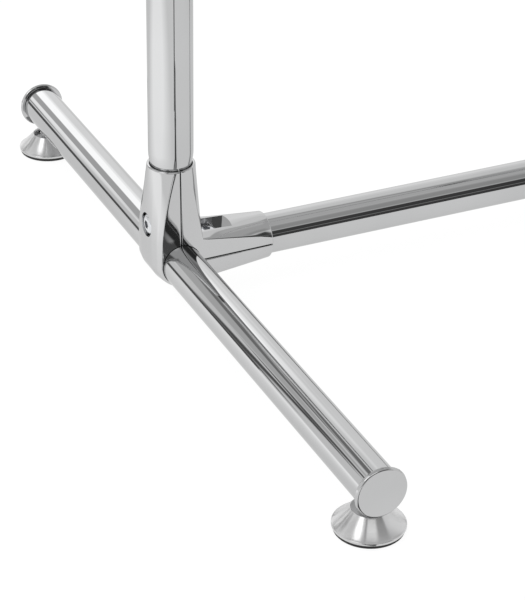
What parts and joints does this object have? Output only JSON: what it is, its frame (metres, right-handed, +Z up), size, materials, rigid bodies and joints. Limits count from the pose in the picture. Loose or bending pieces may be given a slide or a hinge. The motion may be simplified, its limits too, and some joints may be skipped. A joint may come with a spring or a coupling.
{
  "type": "valet stand",
  "caption": "Chrome tube valet stand: H-shaped base on levelling feet, die-cast clamp connectors, height-adjustable upper frame with trouser bar and shoulder tube.",
  "frame": {"origin": "on the floor, under the middle of the base", "axes": "+Z up, +X along the cross tube, -Y to the front"},
  "size_m": [0.4896, 0.5226, 1.098],
  "materials": {
    "chrome_tube": "bright chrome plated steel tube",
    "cast_chrome": "bright chrome plated zinc casting",
    "turned_aluminium": "satin, turned",
    "zinc_steel": "zinc plated",
    "black_rubber": "matt",
    "black_plastic": "moulded, fine grain"
  },
  "bodies": {
    "base": {"base_tube_left": "chrome_tube", "base_tube_right": "chrome_tube", "cross_tube": "chrome_tube", "lower_upright_left": "chrome_tube", "lower_upright_right": "chrome_tube", "end_cap_front_left": "cast_chrome", "end_cap_back_left": "cast_chrome", "end_cap_front_right": "cast_chrome", "end_cap_back_right": "cast_chrome", "end_plug_front_left": "black_plastic", "end_plug_back_left": "black_plastic", "end_plug_front_right": "black_plastic", "end_plug_back_right": "black_plastic", "connector_outer_shell_left": "cast_chrome", "connector_outer_shell_right": "cast_chrome", "connector_inner_shell_left": "cast_chrome", "connector_inner_shell_right": "cast_chrome", "clamp_screw_side_left": "zinc_steel", "clamp_screw_side_right": "zinc_steel", "clamp_screw_top_left": "zinc_steel", "clamp_screw_top_right": "zinc_steel", "clamp_nut_side_left": "zinc_steel", "clamp_nut_side_right": "zinc_steel", "clamp_nut_top_left": "zinc_steel", "clamp_nut_top_right": "zinc_steel", "guide_bush_left": "black_plastic", "guide_bush_right": "black_plastic", "height_collar_left": "cast_chrome", "height_collar_right": "cast_chrome"},
    "upper_frame": {"upper_frame_tube": "chrome_tube", "trouser_bar": "chrome_tube", "hanger_post": "chrome_tube", "shoulder_tube": "chrome_tube", "bar_clamp_left": "cast_chrome", "bar_clamp_right": "cast_chrome", "hanger_bracket": "cast_chrome", "bar_clamp_screw_left": "zinc_steel", "bar_clamp_screw_right": "zinc_steel", "shoulder_plug_left": "black_plastic", "shoulder_plug_right": "black_plastic"},
    "lock_screw_left": {"lock_knob_left": "black_plastic", "lock_stud_left": "zinc_steel"},
    "lock_screw_right": {"lock_knob_right": "black_plastic", "lock_stud_right": "zinc_steel"},
    "levelling_foot_front_left": {"foot_cone_front_left": "turned_aluminium", "foot_pad_front_left": "black_rubber"},
    "levelling_stud_front_left": {"foot_stud_front_left": "zinc_steel"},
    "levelling_foot_back_left": {"foot_cone_back_left": "turned_aluminium", "foot_pad_back_left": "black_rubber"},
    "levelling_stud_back_left": {"foot_stud_back_left": "zinc_steel"},
    "levelling_foot_front_right": {"foot_cone_front_right": "turned_aluminium", "foot_pad_front_right": "black_rubber"},
    "levelling_stud_front_right": {"foot_stud_front_right": "zinc_steel"},
    "levelling_foot_back_right": {"foot_cone_back_right": "turned_aluminium", "foot_pad_back_right": "black_rubber"},
    "levelling_stud_back_right": {"foot_stud_back_right": "zinc_steel"}
  },
  "joints": [
    {"name": "height_slide", "type": "slide", "parent": "base", "child": "upper_frame", "axis": [0, 0, 1], "range_m": [0, 0.2]},
    {"name": "lock_knob_turn_left", "type": "hinge", "parent": "base", "child": "lock_screw_left", "pos_m": [-0.225, 0.0215, 0.544], "axis": [0, 1, 0], "range_deg": [0, 540]},
    {"name": "lock_knob_turn_right", "type": "hinge", "parent": "base", "child": "lock_screw_right", "pos_m": [0.225, 0.0215, 0.544], "axis": [0, 1, 0], "range_deg": [0, 540]},
    {"name": "foot_height_front_left", "type": "slide", "parent": "base", "child": "levelling_foot_front_left", "axis": [0, 0, -1], "range_m": [0, 0.012]},
    {"name": "stud_turn_front_left", "type": "hinge", "parent": "levelling_foot_front_left", "child": "levelling_stud_front_left", "pos_m": [-0.225, -0.2415, 0.02], "axis": [0, 0, 1], "range_deg": [0, 3460]},
    {"name": "foot_height_back_left", "type": "slide", "parent": "base", "child": "levelling_foot_back_left", "axis": [0, 0, -1], "range_m": [0, 0.012]},
    {"name": "stud_turn_back_left", "type": "hinge", "parent": "levelling_foot_back_left", "child": "levelling_stud_back_left", "pos_m": [-0.225, 0.2415, 0.02], "axis": [0, 0, 1], "range_deg": [0, 3460]},
    {"name": "foot_height_front_right", "type": "slide", "parent": "base", "child": "levelling_foot_front_right", "axis": [0, 0, -1], "range_m": [0, 0.012]},
    {"name": "stud_turn_front_right", "type": "hinge", "parent": "levelling_foot_front_right", "child": "levelling_stud_front_right", "pos_m": [0.225, -0.2415, 0.02], "axis": [0, 0, 1], "range_deg": [0, 3460]},
    {"name": "foot_height_back_right", "type": "slide", "parent": "base", "child": "levelling_foot_back_right", "axis": [0, 0, -1], "range_m": [0, 0.012]},
    {"name": "stud_turn_back_right", "type": "hinge", "parent": "levelling_foot_back_right", "child": "levelling_stud_back_right", "pos_m": [0.225, 0.2415, 0.02], "axis": [0, 0, 1], "range_deg": [0, 3460]}
  ],
  "couplings": [
    {"joint": "stud_turn_front_left", "follows": "foot_height_front_left", "rad_per_m": 5026.5},
    {"joint": "stud_turn_back_left", "follows": "foot_height_back_left", "rad_per_m": 5026.5},
    {"joint": "stud_turn_front_right", "follows": "foot_height_front_right", "rad_per_m": 5026.5},
    {"joint": "stud_turn_back_right", "follows": "foot_height_back_right", "rad_per_m": 5026.5}
  ]
}
